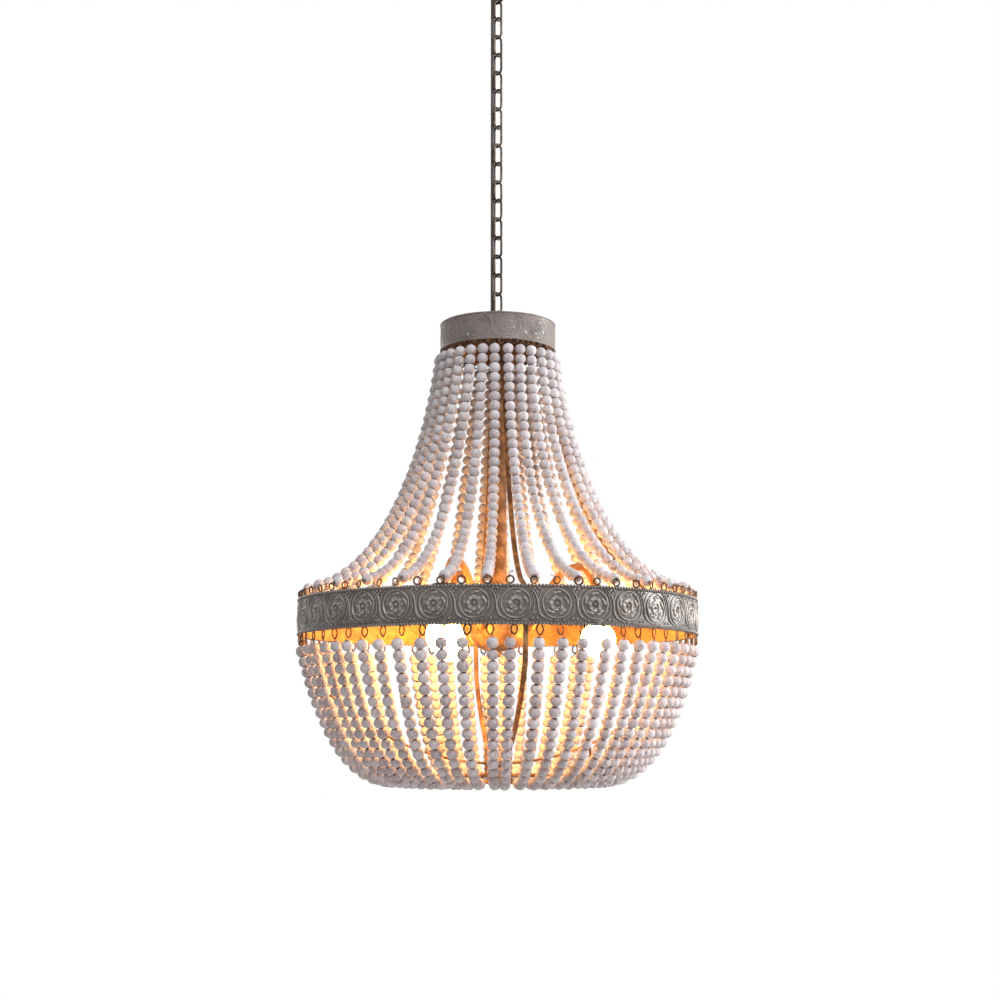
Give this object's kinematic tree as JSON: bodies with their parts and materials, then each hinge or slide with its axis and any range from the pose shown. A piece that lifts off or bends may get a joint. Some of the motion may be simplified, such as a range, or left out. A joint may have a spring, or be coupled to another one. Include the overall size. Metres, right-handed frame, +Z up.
{
  "type": "beaded chandelier",
  "caption": "Bell of wood-bead strands from a small crown to a wide embossed band, over a bowl of swagged strands, with lamps inside, hung on a link chain and cord from a ceiling canopy.",
  "frame": {"origin": "centre of the bracket's top face, where it meets the ceiling", "axes": "+Z up along the chandelier's axis, -Y towards the front, and the supply cord on the -X side of the chain"},
  "size_m": [0.5014, 0.5014, 1.0749],
  "materials": {
    "dark_bronze": "satin dark bronze",
    "aged_metal": "worn grey-brown with pale high spots",
    "crown_metal": "worn grey wash over embossed metal",
    "frame_metal": "matte brown",
    "pale_wood": "whitewashed, matte",
    "mauve_wood": "grey-mauve wash, matte",
    "cord_cover": "matte near-black brown",
    "socket_body": "matte cream",
    "bulb_glass": "frosted, lit warm"
  },
  "bodies": {
    "ceiling": {"ceiling_bracket": "dark_bronze", "hanger": "dark_bronze", "supply_cord": "cord_cover"},
    "canopy": {"canopy": "dark_bronze", "collar_ring": "dark_bronze"},
    "link_01": {"chain_link_01": "dark_bronze"},
    "link_02": {"chain_link_02": "dark_bronze"},
    "link_03": {"chain_link_03": "dark_bronze"},
    "link_04": {"chain_link_04": "dark_bronze"},
    "link_05": {"chain_link_05": "dark_bronze"},
    "link_06": {"chain_link_06": "dark_bronze"},
    "link_07": {"chain_link_07": "dark_bronze"},
    "link_08": {"chain_link_08": "dark_bronze"},
    "link_09": {"chain_link_09": "dark_bronze"},
    "link_10": {"chain_link_10": "dark_bronze"},
    "link_11": {"chain_link_11": "dark_bronze"},
    "link_12": {"chain_link_12": "dark_bronze"},
    "link_13": {"chain_link_13": "dark_bronze"},
    "link_14": {"chain_link_14": "dark_bronze"},
    "link_15": {"chain_link_15": "dark_bronze"},
    "link_16": {"chain_link_16": "dark_bronze"},
    "link_17": {"chain_link_17": "dark_bronze"},
    "fixture": {"crown_band": "crown_metal", "crown_plate": "crown_metal", "crown_loop": "dark_bronze", "main_band": "aged_metal", "upper_strands_1": "pale_wood", "upper_strands_2": "pale_wood", "upper_strands_3": "pale_wood", "upper_strands_4": "pale_wood", "upper_strands_5": "pale_wood", "lower_strands_1": "mauve_wood", "lower_strands_2": "mauve_wood", "lower_strands_3": "mauve_wood", "lower_strands_4": "mauve_wood", "lower_strands_5": "mauve_wood", "upper_rib_1": "frame_metal", "upper_rib_2": "frame_metal", "upper_rib_3": "frame_metal", "upper_rib_4": "frame_metal", "lower_rib_1": "frame_metal", "lower_rib_2": "frame_metal", "lower_rib_3": "frame_metal", "lower_rib_4": "frame_metal", "rib_boss": "frame_metal", "bottom_ring": "frame_metal", "stem": "frame_metal", "hub": "frame_metal", "arm_1": "dark_bronze", "arm_2": "dark_bronze", "arm_3": "dark_bronze", "lamp_cup_1": "dark_bronze", "lamp_cup_2": "dark_bronze", "lamp_cup_3": "dark_bronze", "lamp_socket_1": "socket_body", "lamp_socket_2": "socket_body", "lamp_socket_3": "socket_body"},
    "bulb_1": {"bulb_1": "bulb_glass"},
    "bulb_2": {"bulb_2": "bulb_glass"},
    "bulb_3": {"bulb_3": "bulb_glass"}
  },
  "joints": [
    {"name": "canopy_slide", "type": "slide", "parent": "ceiling", "child": "canopy", "axis": [0, 0, -1], "range_m": [0, 0.06]},
    {"name": "link_01_sway", "type": "hinge", "parent": "ceiling", "child": "link_01", "pos_m": [0, 0, -0.0563], "axis": [0.7071, -0.7071, 0], "range_deg": [-8, 8], "deforming": ["supply_cord"]},
    {"name": "link_02_sway", "type": "hinge", "parent": "link_01", "child": "link_02", "pos_m": [0, 0, -0.0804], "axis": [0.7071, 0.7071, 0], "range_deg": [-8, 8], "deforming": ["supply_cord"]},
    {"name": "link_03_sway", "type": "hinge", "parent": "link_02", "child": "link_03", "pos_m": [0, 0, -0.1054], "axis": [0.7071, -0.7071, 0], "range_deg": [-8, 8], "deforming": ["supply_cord"]},
    {"name": "link_04_sway", "type": "hinge", "parent": "link_03", "child": "link_04", "pos_m": [0, 0, -0.1304], "axis": [0.7071, 0.7071, 0], "range_deg": [-8, 8], "deforming": ["supply_cord"]},
    {"name": "link_05_sway", "type": "hinge", "parent": "link_04", "child": "link_05", "pos_m": [0, 0, -0.1554], "axis": [0.7071, -0.7071, 0], "range_deg": [-8, 8], "deforming": ["supply_cord"]},
    {"name": "link_06_sway", "type": "hinge", "parent": "link_05", "child": "link_06", "pos_m": [0, 0, -0.1804], "axis": [0.7071, 0.7071, 0], "range_deg": [-8, 8], "deforming": ["supply_cord"]},
    {"name": "link_07_sway", "type": "hinge", "parent": "link_06", "child": "link_07", "pos_m": [0, 0, -0.2054], "axis": [0.7071, -0.7071, 0], "range_deg": [-8, 8], "deforming": ["supply_cord"]},
    {"name": "link_08_sway", "type": "hinge", "parent": "link_07", "child": "link_08", "pos_m": [0, 0, -0.2304], "axis": [0.7071, 0.7071, 0], "range_deg": [-8, 8], "deforming": ["supply_cord"]},
    {"name": "link_09_sway", "type": "hinge", "parent": "link_08", "child": "link_09", "pos_m": [0, 0, -0.2554], "axis": [0.7071, -0.7071, 0], "range_deg": [-8, 8], "deforming": ["supply_cord"]},
    {"name": "link_10_sway", "type": "hinge", "parent": "link_09", "child": "link_10", "pos_m": [0, 0, -0.2804], "axis": [0.7071, 0.7071, 0], "range_deg": [-8, 8], "deforming": ["supply_cord"]},
    {"name": "link_11_sway", "type": "hinge", "parent": "link_10", "child": "link_11", "pos_m": [0, 0, -0.3054], "axis": [0.7071, -0.7071, 0], "range_deg": [-8, 8], "deforming": ["supply_cord"]},
    {"name": "link_12_sway", "type": "hinge", "parent": "link_11", "child": "link_12", "pos_m": [0, 0, -0.3304], "axis": [0.7071, 0.7071, 0], "range_deg": [-8, 8], "deforming": ["supply_cord"]},
    {"name": "link_13_sway", "type": "hinge", "parent": "link_12", "child": "link_13", "pos_m": [0, 0, -0.3554], "axis": [0.7071, -0.7071, 0], "range_deg": [-8, 8], "deforming": ["supply_cord"]},
    {"name": "link_14_sway", "type": "hinge", "parent": "link_13", "child": "link_14", "pos_m": [0, 0, -0.3804], "axis": [0.7071, 0.7071, 0], "range_deg": [-8, 8], "deforming": ["supply_cord"]},
    {"name": "link_15_sway", "type": "hinge", "parent": "link_14", "child": "link_15", "pos_m": [0, 0, -0.4054], "axis": [0.7071, -0.7071, 0], "range_deg": [-8, 8], "deforming": ["supply_cord"]},
    {"name": "link_16_sway", "type": "hinge", "parent": "link_15", "child": "link_16", "pos_m": [0, 0, -0.4304], "axis": [0.7071, 0.7071, 0], "range_deg": [-8, 8], "deforming": ["supply_cord"]},
    {"name": "link_17_sway", "type": "hinge", "parent": "link_16", "child": "link_17", "pos_m": [0, 0, -0.4554], "axis": [0.7071, -0.7071, 0], "range_deg": [-8, 8], "deforming": ["supply_cord"]},
    {"name": "fixture_sway", "type": "hinge", "parent": "link_17", "child": "fixture", "pos_m": [0, 0, -0.4804], "axis": [0.7071, 0.7071, 0], "range_deg": [-8, 8], "deforming": ["supply_cord"]},
    {"name": "bulb_1_out", "type": "slide", "parent": "fixture", "child": "bulb_1", "axis": [0, 0, -1], "range_m": [0, 0.024]},
    {"name": "bulb_2_out", "type": "slide", "parent": "fixture", "child": "bulb_2", "axis": [0, 0, -1], "range_m": [0, 0.024]},
    {"name": "bulb_3_out", "type": "slide", "parent": "fixture", "child": "bulb_3", "axis": [0, 0, -1], "range_m": [0, 0.024]}
  ]
}
